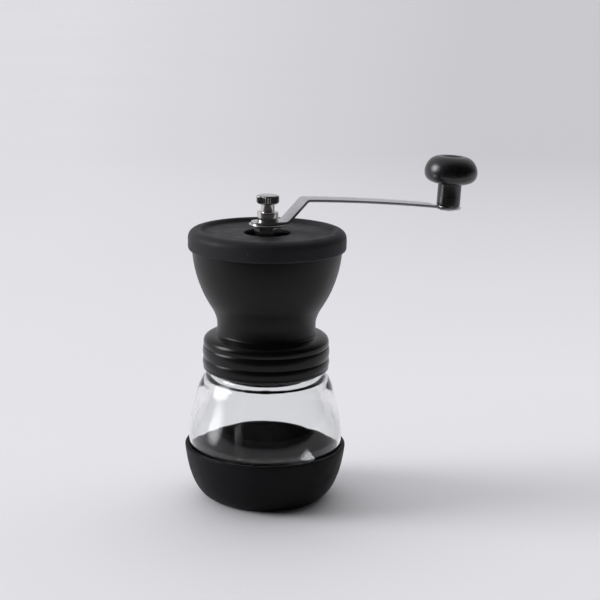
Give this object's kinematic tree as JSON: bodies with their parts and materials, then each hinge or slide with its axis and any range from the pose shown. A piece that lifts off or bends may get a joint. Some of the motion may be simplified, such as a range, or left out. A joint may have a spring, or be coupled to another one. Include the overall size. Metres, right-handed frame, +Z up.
{
  "type": "hand crank coffee grinder",
  "caption": "Manual coffee grinder: glass jar in a rubber base, screw-on hopper with lid and conical burrs, and a bent crank arm with a mushroom knob.",
  "frame": {"origin": "middle of the rubber base's flat underside, on the drive shaft's axis", "axes": "+Z up along the drive shaft, +X along the crank arm at rest"},
  "size_m": [0.1759, 0.0934, 0.1961],
  "materials": {
    "rubber_black": "matte soft black rubber",
    "lid_rubber": "matte charcoal soft rubber",
    "seal_silicone": "translucent white silicone",
    "clear_glass": "clear glass, smooth",
    "satin_black_plastic": "fine satin moulded black plastic",
    "knob_plastic": "semi-gloss black plastic",
    "inner_plastic": "matte dark grey plastic",
    "bush_plastic": "natural acetal plastic",
    "arm_steel": "satin stainless strip",
    "nut_steel": "polished nickel plate",
    "shaft_steel": "turned steel",
    "spring_steel": "drawn spring wire",
    "burr_ceramic": "matte off-white technical ceramic"
  },
  "bodies": {
    "base": {"rubber_base": "rubber_black"},
    "jar": {"glass_jar": "clear_glass"},
    "seal": {"jar_seal": "seal_silicone"},
    "hopper": {"hopper_body": "satin_black_plastic", "burr_housing": "inner_plastic", "upper_bush": "bush_plastic", "lower_bush": "bush_plastic", "outer_burr": "burr_ceramic", "burr_retainer": "inner_plastic", "retainer_screws": "shaft_steel"},
    "lid": {"lid": "lid_rubber"},
    "shaft": {"drive_shaft": "shaft_steel", "hub_nut": "shaft_steel", "hub_washer": "nut_steel", "thrust_washer": "shaft_steel", "retaining_clip": "spring_steel", "spring_washer": "shaft_steel", "burr_spring": "spring_steel"},
    "crank": {"crank_arm": "arm_steel", "knob_pin": "nut_steel", "knob_washer": "nut_steel"},
    "knob": {"knob": "knob_plastic"},
    "nut": {"thumb_nut": "nut_steel"},
    "burr": {"inner_burr": "burr_ceramic", "burr_carrier": "inner_plastic"},
    "dial": {"adjusting_dial": "inner_plastic"}
  },
  "joints": [
    {"name": "base_pull", "type": "slide", "parent": "base", "child": "jar", "axis": [0, 0, 1], "range_m": [0, 0.036]},
    {"name": "hopper_unscrew", "type": "hinge", "parent": "jar", "child": "seal", "pos_m": [0, 0, 0.0921], "axis": [0, 0, 1], "range_deg": [0, 450]},
    {"name": "hopper_rise", "type": "slide", "parent": "seal", "child": "hopper", "axis": [0, 0, 1], "range_m": [0, 0.045]},
    {"name": "crank_turn", "type": "hinge", "parent": "hopper", "child": "shaft", "pos_m": [0, 0, 0.11], "axis": [0, 0, 1], "continuous": true},
    {"name": "nut_unscrew", "type": "hinge", "parent": "crank", "child": "nut", "pos_m": [0, 0, 0.165], "axis": [0, 0, 1], "range_deg": [0, 1440]},
    {"name": "crank_lift", "type": "slide", "parent": "shaft", "child": "crank", "axis": [0, 0, 1], "range_m": [0, 0.0459]},
    {"name": "lid_lift", "type": "slide", "parent": "hopper", "child": "lid", "axis": [0, 0, 1], "range_m": [0, 0.034]},
    {"name": "knob_spin", "type": "hinge", "parent": "crank", "child": "knob", "pos_m": [0.1125, 0, 0.1661], "axis": [0.0523, 0, 0.9986], "continuous": true},
    {"name": "burr_feed", "type": "slide", "parent": "shaft", "child": "burr", "axis": [0, 0, 1], "range_m": [-0.0015, 0.00042], "deforming": ["burr_spring"]},
    {"name": "dial_turn", "type": "hinge", "parent": "burr", "child": "dial", "pos_m": [0, 0, 0.068], "axis": [0, 0, 1], "range_deg": [-540, 150]}
  ],
  "couplings": [
    {"joint": "hopper_rise", "follows": "hopper_unscrew", "m_per_rad": 0.0057168},
    {"joint": "nut_unscrew", "follows": "crank_lift", "rad_per_m": 547.5},
    {"joint": "lid_lift", "follows": "crank_lift", "ratio": 0.735},
    {"joint": "dial_turn", "follows": "burr_feed", "rad_per_m": 6283.2}
  ]
}
